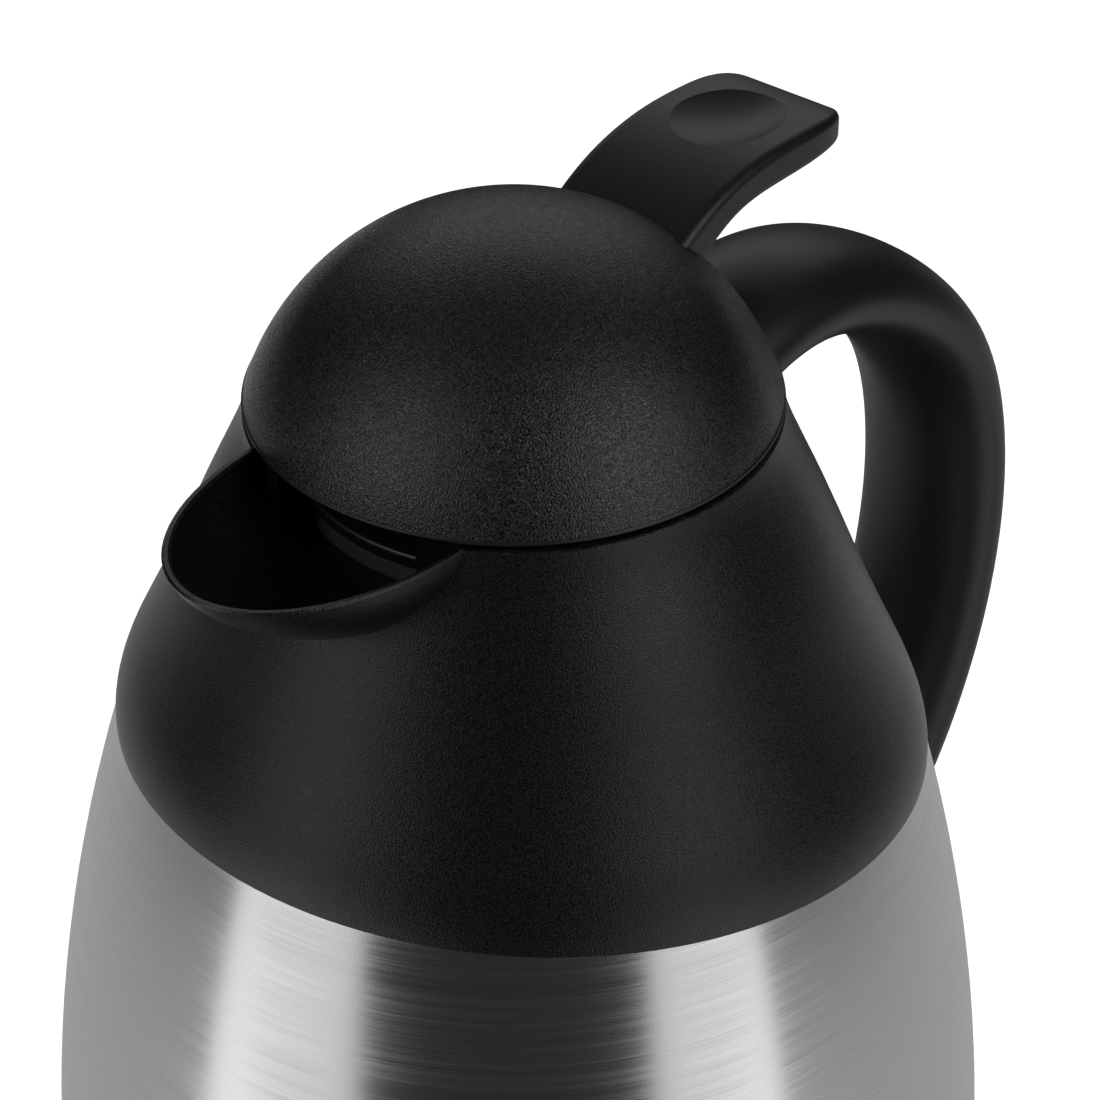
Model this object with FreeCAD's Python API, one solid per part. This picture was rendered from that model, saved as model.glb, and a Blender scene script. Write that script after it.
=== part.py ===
import FreeCAD, Part
import math
import os

V = FreeCAD.Vector
ORIGIN = V(0, 0, 0)
UP = V(0, 0, 1)
ACROSS = V(0, 1, 0)
ALONG = V(1, 0, 0)

# The jug stands on z = 0 about the Z axis, handle towards +X and spout towards -X. All sizes in mm.

# Steel outer shell: a barrel of one large arc, its top edge cut on a slant that falls to the handle
belly_radius = 75.0
belly_height = 52.0
barrel_arc_radius = 327.0
shell_wall = 0.6
shell_bottom = 2.6
shell_corner_radius = 5.0
shell_hem_flat = 2.1
slant_height = 146.5
slant_fall = 0.098

# Base: threaded ring, screwed-in plate, pad and cushion
base_ring_height = 10.0
base_plate_thickness = 5.5
plate_rim_height = 3.0
plate_rim_width = 3.0
pad_thickness = 1.5
pad_margin = 3.9
pad_chamfer = 0.5
cushion_height = 8.0
cushion_inner = 22.0
cushion_width = 16.0

# Glass vacuum insert
flask_room = 1.95
flask_bottom_corner = 20.0
flask_shoulder_corner = 30.0
flask_shoulder_rise = 30.0
flask_neck_corner = 8.0
flask_neck_length = 18.0
flask_rim_thickness = 1.8
glass_wall = 1.8
vacuum_gap = 4.0
seal_tip_radius = 4.0
seal_tip_end_radius = 2.0
seal_tip_length = 3.5
spacer_radius = 6.0
spacer_rise = 25.0
spacer_count = 3
spacer_bearing = 60.0

# Shoulder collar
shoulder_rise = 56.9
mouth_radius = 35.0
mouth_depth = 12.9
mouth_ledge = 4.8
collar_rim_width = 3.6
collar_top_slope = 0.385
collar_wall = 2.6
collar_roof = 4.5
collar_lip_height = 9.0
collar_lip_arc = 20.0
collar_proud = 0.25
collar_rim_round = 1.1
spigot_depth = 8.0
spigot_wall = 1.8
tube_wall = 2.4
neck_socket_depth = 10.4
neck_socket_wall = 2.0
neck_gasket_thickness = 2.4
neck_gasket_wall = 2.4

# Pouring spout
spout_set_in = 4.4
spout_root = 10.26
spout_reach = 30.3
spout_half_width = 19.7
spout_depth = 18.4
spout_wall = 1.3
spout_rim_bevel = 0.35
spout_window_half = 12.8
spout_fullness = 1.7
spout_keel_fullness = 1.4

# Handle: an oval bar swept along a curve in the XZ plane.
# Each stop of the curve is given as (distance outside the belly, drop below the collar's top).
handle_width = 27.2
handle_thickness = 16.0
handle_root_set_in = 1.4
handle_root_drop = 14.8
handle_crown = (-9.0, 10.9)
handle_bend = (11.4, 21.0)
handle_back = (27.4, 37.4)
handle_outermost = (35.5, 60.4)
handle_fall = (34.9, 88.0)
handle_sweep = (21.8, 118.9)
handle_foot = (-3.0, 145.4)
handle_end = (-8.5, 151.2)
tenon_width = 16.0
tenon_height = 9.0
tenon_drop = 3.6
bracket_rise = 9.0
bracket_length = 18.0
bracket_width = 14.0
bracket_thickness = 1.2
boss_radius = 4.0
boss_reach = 8.0
handle_screw_radius = 1.9
handle_screw_head_radius = 3.6
handle_screw_head_height = 2.4
handle_screw_web = 5.0
handle_screw_bite = 4.5
handle_screw_end_room = 0.5
socket_radius = 1.5
socket_depth = 1.4

# Lid: stopper, deck and dome
lid_seam = 0.8
dome_overhang = 0.1
dome_height = 27.8
dome_wall = 2.2
dome_skirt = 2.2
dome_edge_bevel = 0.4
dome_rib_height = 1.5
dome_rib_ledge = 3.5
deck_thickness = 2.5
guide_wall = 1.6
guide_tail = 6.0
guide_stand = 0.5
plug_gap = 0.6
plug_room = 0.6
plug_depth = 14.2
plug_wall = 3.0
plug_floor = 2.2
gasket_height = 2.7
gasket_seat = 0.8
flange_thickness = 2.8
flange_taper = 1.2
flange_round = 0.6
pillar_count = 6
pillar_set_in = 0.7
pillar_depth = 4.5
pillar_width = 5.0
screw_radius = 1.3
screw_head_radius = 2.6
screw_head_height = 1.8
screw_length = 8.0
screw_end_room = 0.5

# Thumb lever. Its outlines are given from the pivot as (x, z), with how much each section narrows.
pivot_x = 17.0
pivot_pin_radius = 1.5
hub_room = 0.4
hub_step = 0.2
ear_room = 0.4
ear_thickness = 3.0
ear_half_length = 5.0
lever_half_width = 12.2
lever_corner_share = 0.5
lever_top = [
    (1.4, 8.4), (6.4, 11.7), (14.0, 15.3), (24.0, 17.5), (35.0, 17.6), (42.0, 17.0), (45.6, 16.1), (47.5, 14.9)
]
lever_under = [
    (7.6, 2.4), (11.8, 7.0), (17.7, 10.2), (24.6, 11.5), (35.0, 11.6), (42.0, 11.6), (45.6, 11.4), (47.5, 11.5)
]
lever_narrowing = [0.0, 0.0, 0.0, 0.0, 0.0, 0.7, 2.2, 4.8]
lever_web = [(-3.4, 2.5), (1.8, 7.8), (6.5, 10.6), (10.0, 7.2), (7.3, 3.0), (3.8, -1.7)]
dish_out = 32.0
dish_rise = 17.5
dish_depth = 1.6
dish_half_width = 7.5
dish_stretch = 1.4
fork_room = 0.9
fork_rise = 0.6
fork_arm_width = 3.0
fork_arm_height = 1.65
fork_reach = 4.0
slot_front = [(-2.0, 6.7), (19.0, 21.6)]
slot_rear = [(27.0, 14.7), (9.0, -5.3)]

# Valve
lift_pin_radius = 1.25
lift_pin_stand = 0.6
stem_radius = 2.5
stem_top_room = 2.5
stem_chamfer = 0.4
valve_margin = 9.6
valve_seal_inset = 2.0
valve_seal_land = 3.0
valve_seal_height = 1.5
valve_disc_margin = 1.0
valve_disc_height = 2.5
spring_wire = 0.55
spring_room = 0.65
spring_turns = 6

# Clearances
running_fit = 0.08
seat_gap = 0.05
free_gap = 0.3
press_gap = 0.02
slot_gap = 0.5
lay_gap = 0.15
plate_room = 0.9
thread_room = 0.3
overcut = 1.0

# Number of bearings that the collar's sections are drawn through
collar_stations = 16


def barrel(z, inward=0.0):
    """Radius of the barrel's surface at a height, moved inwards square to the surface."""
    arc = barrel_arc_radius - inward
    return belly_radius - barrel_arc_radius + math.sqrt(arc ** 2 - (z - belly_height) ** 2)


# Foot of the shell: where its bottom corner starts, the corner's centre and the hem
corner_share = shell_corner_radius / barrel_arc_radius
shell_corner_start = (shell_bottom + shell_corner_radius - corner_share * belly_height) / (1 - corner_share)
corner_tilt = math.asin((shell_corner_start - belly_height) / barrel_arc_radius)
foot_radius = barrel(shell_corner_start) - shell_corner_radius * math.cos(corner_tilt)
shell_hem_radius = foot_radius - shell_hem_flat
base_plate_radius = shell_hem_radius - plate_room
base_ring_inner = base_plate_radius + thread_room
base_plate_top = pad_thickness + base_plate_thickness
flask_bottom = base_plate_top + cushion_height

# Collar, stopper and neck, from the top down
collar_top = slant_height + shoulder_rise
collar_top_radius = mouth_radius + collar_rim_width
mouth_floor = collar_top - mouth_depth
throat_radius = mouth_radius - mouth_ledge
tube_radius = mouth_radius + tube_wall
flange_bottom = mouth_floor + gasket_height
flange_top = flange_bottom + flange_thickness
flange_lower_radius = throat_radius + gasket_seat
flange_radius = flange_lower_radius + flange_taper
plug_bottom = flange_bottom - plug_depth
plug_radius = throat_radius - plug_gap
plug_inner = plug_radius - plug_wall
throat_bottom = plug_bottom - plug_room
tube_bottom = throat_bottom - neck_socket_depth
neck_socket_radius = tube_radius - neck_socket_wall
flask_rim_height = throat_bottom - neck_gasket_thickness
flask_neck_radius = neck_socket_radius - neck_gasket_wall
flask_neck_height = flask_rim_height - flask_neck_length
flask_shoulder_height = flask_neck_height - flask_shoulder_rise
flask_radius = barrel(flask_shoulder_height) - shell_wall - flask_room
spout_centre = collar_top_radius - spout_set_in

# Lid and valve
dome_bottom = collar_top + lid_seam
dome_edge_radius = collar_top_radius + dome_overhang
dome_radius = (dome_edge_radius ** 2 + dome_height ** 2) / (2 * dome_height)
dome_centre = dome_bottom + dome_height - dome_radius
deck_radius = dome_edge_radius - dome_skirt - free_gap
deck_bottom = dome_bottom
deck_top = deck_bottom + deck_thickness
pillar_outer = flange_radius - pillar_set_in
pillar_inner = pillar_outer - pillar_depth
screw_circle = (pillar_inner + pillar_outer) / 2
valve_bore = plug_inner - valve_margin
valve_seal_inner = valve_bore - valve_seal_inset
valve_seal_outer = valve_bore + valve_seal_land
valve_disc_radius = valve_seal_outer + valve_disc_margin
seal_bottom = plug_bottom + plug_floor
disc_bottom = seal_bottom + valve_seal_height
disc_top = disc_bottom + valve_disc_height
guide_radius = stem_radius + free_gap + guide_wall
spring_radius = guide_radius + spring_wire + spring_room
fork_inner = stem_radius + fork_room
fork_outer = fork_inner + fork_arm_width
fork_half_height = lift_pin_radius + free_gap + fork_arm_height
hub_half_width = fork_outer + hub_step
ear_inner = hub_half_width + ear_room
lift_pin_half_length = fork_outer + lift_pin_stand
pivot_z = deck_top + guide_stand + fork_rise + fork_half_height
hub_radius = pivot_z - deck_top - hub_room

# Handle: its root in the collar and the bracket under its foot
handle_root = (tube_radius - handle_root_set_in, collar_top - handle_root_drop)
tenon_bottom = handle_root[1] - tenon_drop
tenon_top = tenon_bottom + tenon_height
bracket_height = collar_top - handle_foot[1] + bracket_rise
boss_end = belly_radius + boss_reach
handle_screw_head_seat = boss_end + handle_screw_web


def point(pair):
    """Place an (x, z) pair in the XZ plane."""
    return V(pair[0], 0, pair[1])


def segment(a, b):
    """Straight edge."""
    return Part.LineSegment(a, b).toShape()


def chain(corners):
    """Edges of an open outline of (x, z, radius) corners, each inner corner rounded by its radius."""
    pts = [V(c[0], 0, c[1]) for c in corners]
    edges = []
    start = pts[0]
    for i in range(1, len(pts) - 1):
        radius = corners[i][2]
        if radius <= 0:
            edges.append(segment(start, pts[i]))
            start = pts[i]
            continue
        back = (pts[i - 1] - pts[i]).normalize()
        ahead = (pts[i + 1] - pts[i]).normalize()
        half = back.getAngle(ahead) / 2
        reach = radius / math.tan(half)
        first = pts[i] + back * reach
        last = pts[i] + ahead * reach
        middle = pts[i] + (back + ahead).normalize() * (radius / math.sin(half) - radius)
        if (first - start).Length > 1e-6:
            edges.append(segment(start, first))
        edges.append(Part.Arc(first, middle, last).toShape())
        start = last
    edges.append(segment(start, pts[-1]))
    return edges


def outline(corners):
    """Closed face in the XZ plane with rounded corners."""
    first = corners[0]
    last = corners[-1]
    start = ((first[0] + last[0]) / 2, (first[1] + last[1]) / 2, 0)
    return Part.Face(Part.Wire(chain([start] + list(corners) + [start])))


def turned(face):
    """Solid of revolution about the jug's axis."""
    return face.revolve(ORIGIN, UP, 360)


def ring(inner, outer, low, high):
    """Plain ring about the jug's axis."""
    return turned(outline([(inner, low, 0), (outer, low, 0), (outer, high, 0), (inner, high, 0)]))


def disc(radius, low, high):
    """Plain disc about the jug's axis."""
    return Part.makeCylinder(radius, high - low, V(0, 0, low))


def block(x0, x1, y0, y1, z0, z1):
    """Box between two corners."""
    return Part.makeBox(x1 - x0, y1 - y0, z1 - z0, V(x0, y0, z0))


def inset(corners, depth):
    """Move an open outline to its left by depth, keeping its walls parallel."""
    lines = []
    for a, b in zip(corners, corners[1:]):
        dx = b[0] - a[0]
        dz = b[1] - a[1]
        length = math.hypot(dx, dz)
        lines.append((a[0] - dz / length * depth, a[1] + dx / length * depth, dx / length, dz / length))
    moved = [(lines[0][0], lines[0][1], 0)]
    for corner, one, two in zip(corners[1:-1], lines, lines[1:]):
        cross = one[2] * two[3] - one[3] * two[2]
        t = ((two[0] - one[0]) * two[3] - (two[1] - one[1]) * two[2]) / cross
        radius = corner[2] - depth if cross > 0 else corner[2] + depth
        moved.append((one[0] + one[2] * t, one[1] + one[3] * t, radius))
    end = corners[-1]
    moved.append((end[0] - lines[-1][3] * depth, end[1] + lines[-1][2] * depth, 0))
    return moved


def barrel_body(inward, low, high):
    """Solid barrel between two heights."""
    middle = (low + high) / 2
    wall = Part.Arc(
        V(barrel(low, inward), 0, low), V(barrel(middle, inward), 0, middle), V(barrel(high, inward), 0, high)
    ).toShape()
    edges = [
        segment(V(0, 0, low), V(barrel(low, inward), 0, low)),
        wall,
        segment(V(barrel(high, inward), 0, high), V(0, 0, high)),
        segment(V(0, 0, high), V(0, 0, low)),
    ]
    return turned(Part.Face(Part.Wire(edges)))


def above_slant(lift):
    """Half space above the slanted plane of the shell's top edge."""
    size = 4 * belly_radius
    half = Part.makeBox(size, size, size, V(-size / 2, -size / 2, 0))
    half.rotate(ORIGIN, ACROSS, math.degrees(math.atan(slant_fall)))
    half.translate(V(0, 0, slant_height + lift))
    return half


def shell_profile_arc(inward):
    """Barrel arc and rounded bottom corner of the shell, from the hem up to the neck of the cut."""
    low = shell_corner_start
    high = slant_height + slant_fall * belly_radius + spigot_depth
    middle = (low + high) / 2
    radius = shell_corner_radius - inward
    outward = V(math.cos(corner_tilt), 0, math.sin(corner_tilt))
    start = V(barrel(low), 0, low) - outward * inward
    centre = V(foot_radius, 0, shell_bottom + shell_corner_radius)
    turn = (corner_tilt - math.pi / 2) / 2
    bend = centre + V(math.cos(turn), 0, math.sin(turn)) * radius
    bottom = centre - V(0, 0, radius)
    arc_middle = V(barrel(middle, inward), 0, middle)
    arc_end = V(barrel(high, inward), 0, high)
    corner = Part.Arc(bottom, bend, start).toShape()
    wall = Part.Arc(start, arc_middle, arc_end).toShape()
    return bottom, corner, wall, arc_end


def make_outer_shell():
    """Pressed steel barrel with a turned-in hem below and a slanted top edge."""
    out_bottom, out_corner, out_wall, out_end = shell_profile_arc(0)
    in_bottom, in_corner, in_wall, in_end = shell_profile_arc(shell_wall)
    hem_low = V(shell_hem_radius, 0, out_bottom.z)
    hem_high = V(shell_hem_radius, 0, in_bottom.z)
    edges = [
        segment(hem_low, out_bottom),
        out_corner,
        out_wall,
        segment(out_end, in_end),
        in_wall,
        in_corner,
        segment(in_bottom, hem_high),
        segment(hem_high, hem_low),
    ]
    shell = turned(Part.Face(Part.Wire(Part.__sortEdges__(edges))))
    return shell.cut(above_slant(0)), in_bottom.z


def slant_point(theta, lift=0.0):
    """Radius where the barrel meets a plane parallel to the slanted edge."""
    radius = belly_radius
    for _ in range(12):
        radius = barrel(slant_height + lift - slant_fall * radius * math.cos(theta))
    return radius


def ring_point(theta, radius, height):
    """Point at a bearing about the jug's axis."""
    return V(radius * math.cos(theta), radius * math.sin(theta), height)


def on_slant(theta, radius, lift):
    """Point at a radius on a plane parallel to the slanted edge."""
    return ring_point(theta, radius, slant_height + lift - slant_fall * radius * math.cos(theta))


def lip_point(theta, lip, growth):
    """Point on the collar's rounded lip, at a height above its slanted edge."""
    radius = slant_point(theta) + collar_proud - lip ** 2 / (2 * collar_lip_arc)
    return on_slant(theta, radius + growth, lip)


def skirt_point(theta, share, drop, growth):
    """Point on the collar's skirt, a share of the way or a drop in mm below its top."""
    start = lip_point(theta, collar_lip_height, 0)
    fall = collar_top - start.z
    flare = (math.hypot(start.x, start.y) - collar_top_radius - collar_top_slope * fall) / fall ** 2
    depth = drop if share is None else share * fall
    radius = collar_top_radius + collar_top_slope * depth + flare * depth ** 2
    return ring_point(theta, radius + growth, collar_top - depth)


def closed_curve(maker):
    """Smooth closed wire through points that a function gives for bearings all round."""
    turns = [2 * math.pi * i / collar_stations for i in range(collar_stations)]
    curve = Part.BSplineCurve()
    curve.interpolate([maker(t) for t in turns], PeriodicFlag=True)
    return Part.Wire(curve.toShape())


def collar_form(growth):
    """Solid filling the collar's outside, from its slanted edge to its top."""
    lips = (0, collar_lip_height / 2)
    sections = [closed_curve(lambda t, lip=lip: lip_point(t, lip, growth)) for lip in lips]
    for share in (1.0, 0.65, 0.3):
        sections.append(closed_curve(lambda t, share=share: skirt_point(t, share, None, growth)))
    sections.append(closed_curve(lambda t: skirt_point(t, None, 0, growth)))
    return Part.makeLoft(sections, True, False)


def collar_hollow():
    """Space under the collar's skirt, open below."""
    depth = spigot_depth + overcut
    inner = shell_wall + lay_gap + spigot_wall

    def inside_spigot(theta, lift):
        return on_slant(theta, slant_point(theta, lift) - inner, lift)

    sections = [closed_curve(lambda t, lift=lift: inside_spigot(t, lift)) for lift in (-depth, -depth / 2, 0)]
    for share in (1.0, 0.65, 0.3):
        sections.append(closed_curve(lambda t, share=share: skirt_point(t, share, None, -collar_wall)))
    sections.append(closed_curve(lambda t: skirt_point(t, None, collar_roof, -collar_wall)))
    return Part.makeLoft(sections, True, False)


def spout_section(share, shrink):
    """Horizontal section of the spout, share of its depth below the rim."""
    reach = spout_reach * (1 - share ** spout_keel_fullness) ** (1 / spout_keel_fullness) - shrink
    half = spout_half_width * (1 - share ** spout_fullness) ** (1 / spout_fullness) - shrink
    height = collar_top - (spout_depth - shrink) * share
    stretch = FreeCAD.Matrix()
    stretch.scale(reach, half, 1)
    bow = Part.Arc(ACROSS, -ALONG, -ACROSS).toShape().transformGeometry(stretch)
    bow.translate(V(-spout_centre, 0, height))
    corners = [
        V(-spout_centre, -half, height),
        V(spout_root - spout_centre, -half, height),
        V(spout_root - spout_centre, half, height),
        V(-spout_centre, half, height),
    ]
    return Part.Wire([bow] + [segment(a, b) for a, b in zip(corners, corners[1:])])


def spout_form(shrink, bevel, shares):
    """Solid bowl of the spout, its rim drawn in by a bevel, or let out where the bevel is negative."""
    edge = abs(bevel) / (spout_depth - shrink)
    bowl = Part.makeLoft([spout_section(s, shrink) for s in (edge,) + shares], True, False)
    rim = Part.makeLoft([spout_section(edge, shrink), spout_section(0.0, shrink + bevel)], True, True)
    top = rim.fuse(bowl)
    if bevel > 0:
        return top
    mouth = Part.Face(spout_section(0.0, shrink + bevel))
    return top.fuse(mouth.extrude(UP * overcut))


def rim_rounding():
    """Ring outside the rounded upper edge of the collar."""
    out = collar_top_radius + 10 * collar_rim_round
    low = collar_top - 6 * collar_rim_round
    below = collar_top_radius + collar_top_slope * (collar_top - low)
    edges = chain([
        (mouth_radius, collar_top, 0), (collar_top_radius, collar_top, collar_rim_round), (below, low, 0)
    ])
    arc = edges[1]
    first = arc.valueAt(arc.FirstParameter)
    last = arc.valueAt(arc.LastParameter)
    over = collar_top + overcut
    corners = [last, V(out, 0, last.z), V(out, 0, over), V(first.x, 0, over), first]
    sides = [segment(a, b) for a, b in zip(corners, corners[1:])]
    return turned(Part.Face(Part.Wire(Part.__sortEdges__([arc] + sides))))


def make_collar():
    """Shoulder collar: skirt, spigot, pouring spout, mouth, throat and neck socket in one moulding."""
    form = collar_form(0).cut(rim_rounding())
    low = slant_height - slant_fall * belly_radius - 2 * spigot_depth
    high = slant_height + slant_fall * belly_radius + 2 * spigot_depth
    spigot = barrel_body(shell_wall + lay_gap, low, high)
    spigot = spigot.common(above_slant(-spigot_depth)).cut(above_slant(overcut / 2))
    skirt = form.fuse(spigot).cut(collar_hollow())
    tube = disc(tube_radius, tube_bottom, collar_top)
    body = skirt.fuse([tube, spout_form(0, spout_rim_bevel, (0.22, 0.45, 0.68, 0.86, 0.94))])
    over = collar_top + overcut
    bowl = spout_form(spout_wall, -spout_rim_bevel, (0.22, 0.45, 0.68, 0.86))
    window = bowl.common(block(-tube_radius, 0, -spout_window_half, spout_window_half, mouth_floor, over))
    bowl = bowl.cut(disc(tube_radius, tube_bottom, over + overcut))
    tenon = block(
        tube_radius, belly_radius + handle_crown[0], -tenon_width / 2 - lay_gap, tenon_width / 2 + lay_gap,
        tenon_bottom - lay_gap, tenon_top + lay_gap
    )
    cutters = [
        disc(mouth_radius, mouth_floor, over),
        disc(throat_radius, throat_bottom - overcut, collar_top),
        disc(neck_socket_radius, tube_bottom - overcut, throat_bottom),
        window,
        bowl,
        tenon,
    ]
    return body.cut(cutters)


def make_base_ring(seat):
    """Threaded ring that lies on the shell's hem."""
    low = seat + seat_gap
    high = low + base_ring_height
    corner = shell_corner_radius - shell_wall - lay_gap
    outer = foot_radius + corner - lay_gap
    return turned(outline([
        (base_ring_inner, low, 0), (outer, low, corner), (outer, high, 0), (base_ring_inner, high, 0)
    ]))


def make_base_plate():
    """Screw-in bottom plate with a raised rim."""
    radius = base_plate_radius
    inner = radius - plate_rim_width
    rim_top = base_plate_top + plate_rim_height
    return turned(outline([
        (0, pad_thickness, 0), (radius, pad_thickness, 0), (radius, rim_top, 0), (inner, rim_top, 0),
        (inner, base_plate_top, 0), (0, base_plate_top, 0)
    ]))


def make_base_pad():
    """Flat rubber disc that the jug stands on."""
    pad = disc(base_plate_radius - pad_margin, 0, pad_thickness)
    return pad.makeChamfer(pad_chamfer, [e for e in pad.Edges if abs(e.CenterOfMass.z) < 1e-6])


def make_cushion():
    """Rubber ring between the bottom plate and the glass."""
    return ring(cushion_inner, cushion_inner + cushion_width, base_plate_top, flask_bottom)


flask_path = [
    (0, flask_bottom, 0),
    (flask_radius, flask_bottom, flask_bottom_corner),
    (flask_radius, flask_shoulder_height, flask_shoulder_corner),
    (flask_neck_radius, flask_neck_height, flask_neck_corner),
    (flask_neck_radius, flask_rim_height - flask_rim_thickness, 0),
]


def make_flask_outer():
    """Outer glass wall with its sealed-off tip below."""
    wall = turned(outline(flask_path + inset(flask_path, glass_wall)[::-1]))
    low = flask_bottom - seal_tip_length
    tip = Part.makeCone(seal_tip_end_radius, seal_tip_radius, seal_tip_length, V(0, 0, low))
    return wall.fuse(tip)


def make_flask_inner():
    """Inner glass wall with the rim that joins both walls."""
    outside = inset(flask_path, glass_wall + vacuum_gap)
    inside = inset(flask_path, 2 * glass_wall + vacuum_gap)
    top = flask_rim_height
    outside = outside[:-1] + [(outside[-1][0], flask_rim_height - flask_rim_thickness, 0)]
    rim = [(flask_neck_radius, flask_rim_height - flask_rim_thickness, 0), (flask_neck_radius, top, 0)]
    inside = inside[:-1] + [(inside[-1][0], top, 0)]
    return turned(outline(outside + rim + inside[::-1]))


def make_spacers():
    """Pads that keep the two glass walls apart."""
    outer = flask_radius - glass_wall - press_gap
    inner = flask_radius - glass_wall - vacuum_gap + press_gap
    height = flask_bottom + spacer_rise
    gap = ring(inner, outer, height - 2 * spacer_radius, height + 2 * spacer_radius)
    pads = []
    for i in range(spacer_count):
        pin = Part.makeCylinder(spacer_radius, 2 * flask_radius, V(0, 0, height), ALONG)
        pin.rotate(ORIGIN, UP, 360.0 * i / spacer_count + spacer_bearing)
        pads.append(gap.common(pin))
    return Part.makeCompound(pads)


def make_neck_gasket():
    """Silicone ring between the glass rim and the collar's throat."""
    outer = neck_socket_radius - lay_gap
    inner = flask_neck_radius + lay_gap
    mouth = flask_neck_radius - glass_wall - vacuum_gap
    low = tube_bottom + free_gap
    return turned(outline([
        (inner, low, 0), (outer, low, 0), (outer, throat_bottom, 0),
        (mouth, throat_bottom, 0), (mouth, flask_rim_height, 0), (inner, flask_rim_height, 0)
    ]))


def handle_bar():
    """Oval bar swept along the handle's curve."""
    upper = [handle_crown, handle_bend, handle_back, handle_outermost]
    stops = upper + [handle_fall, handle_sweep, handle_foot, handle_end]
    placed = [point((belly_radius + out, collar_top - drop)) for out, drop in stops]
    curve = Part.BSplineCurve()
    curve.interpolate([point(handle_root)] + placed)
    path = Part.Wire(curve.toShape())
    start = point(handle_root)
    tangent = curve.tangent(curve.FirstParameter)[0]
    side = tangent.cross(ACROSS).normalize()
    oval = Part.Ellipse(start + ACROSS * (handle_width / 2), start + side * (handle_thickness / 2), start)
    sweep = Part.BRepOffsetAPI.MakePipeShell(path)
    sweep.setBiNormalMode(ACROSS)
    sweep.add(Part.Wire(oval.toShape()))
    sweep.build()
    sweep.makeSolid()
    return sweep.shape()


def bracket_plate(growth):
    """Curved plate on the shell, grown by a clearance."""
    half_y = bracket_width / 2 + growth
    half_z = bracket_length / 2 + growth
    low = bracket_height - half_z
    high = bracket_height + half_z
    outer = barrel_body(-bracket_thickness - growth, low - overcut, high + overcut)
    skin = outer.cut(barrel_body(-seat_gap, low - 2 * overcut, high + 2 * overcut))
    return skin.common(block(0, 2 * belly_radius, -half_y, half_y, low, high))


def bracket_boss(growth):
    """Round boss of the bracket along X, grown by a clearance."""
    start = barrel(bracket_height)
    length = boss_end + growth - start
    return Part.makeCylinder(boss_radius + growth, length, V(start, 0, bracket_height), ALONG)


def make_bracket():
    """Plate welded to the shell with a threaded boss for the handle's screw."""
    low = bracket_height - bracket_length
    boss = bracket_boss(0).cut(barrel_body(-seat_gap, low, bracket_height + bracket_length))
    bracket = bracket_plate(0).fuse(boss).removeSplitter()
    bite = boss_end - handle_screw_bite
    hole = Part.makeCylinder(handle_screw_radius + press_gap, 2 * bite, V(bite, 0, bracket_height), ALONG)
    return bracket.cut(hole)


def make_handle():
    """Handle with a tenon in the collar and a foot over the bracket."""
    bar = handle_bar()
    bar = bar.cut(collar_form(lay_gap))
    bar = bar.cut(barrel_body(-lay_gap, shell_corner_start, slant_height))
    tenon_root = belly_radius + handle_crown[0] - handle_thickness
    half = tenon_width / 2
    tenon = block(tube_radius + free_gap, tenon_root, -half, half, tenon_bottom, tenon_top)
    bar = bar.fuse(tenon)
    hole = handle_screw_radius + free_gap
    shank = Part.makeCylinder(hole, 2 * belly_radius, V(belly_radius, 0, bracket_height), ALONG)
    recess = Part.makeCylinder(
        handle_screw_head_radius + free_gap, belly_radius, V(handle_screw_head_seat, 0, bracket_height), ALONG
    )
    bar = bar.cut([bracket_plate(lay_gap), bracket_boss(lay_gap), shank, recess])
    return max(bar.Solids, key=lambda s: s.Volume)


def make_handle_screw():
    """Socket screw from the handle's outside into the bracket's boss."""
    start = boss_end - handle_screw_bite + handle_screw_end_room
    seat = handle_screw_head_seat + seat_gap
    shank = Part.makeCylinder(handle_screw_radius, seat - start, V(start, 0, bracket_height), ALONG)
    height = handle_screw_head_height
    head = Part.makeCylinder(handle_screw_head_radius, height, V(seat, 0, bracket_height), ALONG)
    socket = Part.makeCylinder(
        socket_radius, socket_depth, V(seat + height - socket_depth, 0, bracket_height), ALONG
    )
    return shank.fuse(head).cut(socket)


def make_stopper():
    """Plug with the valve seat, a flange over the gasket and pillars up to the deck."""
    cup = turned(outline([
        (valve_bore, plug_bottom, 0), (plug_radius, plug_bottom, 0), (plug_radius, flange_bottom, 0),
        (flange_lower_radius, flange_bottom, 0), (flange_radius, flange_top, flange_round),
        (plug_inner, flange_top, 0), (plug_inner, seal_bottom, 0), (valve_bore, seal_bottom, 0)
    ]))
    posts = []
    low = flange_top - flange_round
    band = ring(pillar_inner, pillar_outer, low, deck_bottom)
    holes = []
    for i in range(pillar_count):
        turn = 360.0 * (i + 0.5) / pillar_count
        bar = block(0, 2 * pillar_outer, -pillar_width / 2, pillar_width / 2, low, deck_bottom)
        bar.rotate(ORIGIN, UP, turn)
        posts.append(band.common(bar))
        if i % 2:
            hole_end = deck_top - screw_length - screw_end_room
            hole = Part.makeCylinder(screw_radius + press_gap, screw_length, V(screw_circle, 0, hole_end))
            hole.rotate(ORIGIN, UP, turn)
            holes.append(hole)
    return cup.fuse(posts).cut(holes).removeSplitter()


def screw_turns():
    """Bearings of the deck's screws."""
    return [360.0 * (i + 0.5) / pillar_count for i in range(pillar_count) if i % 2]


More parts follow.
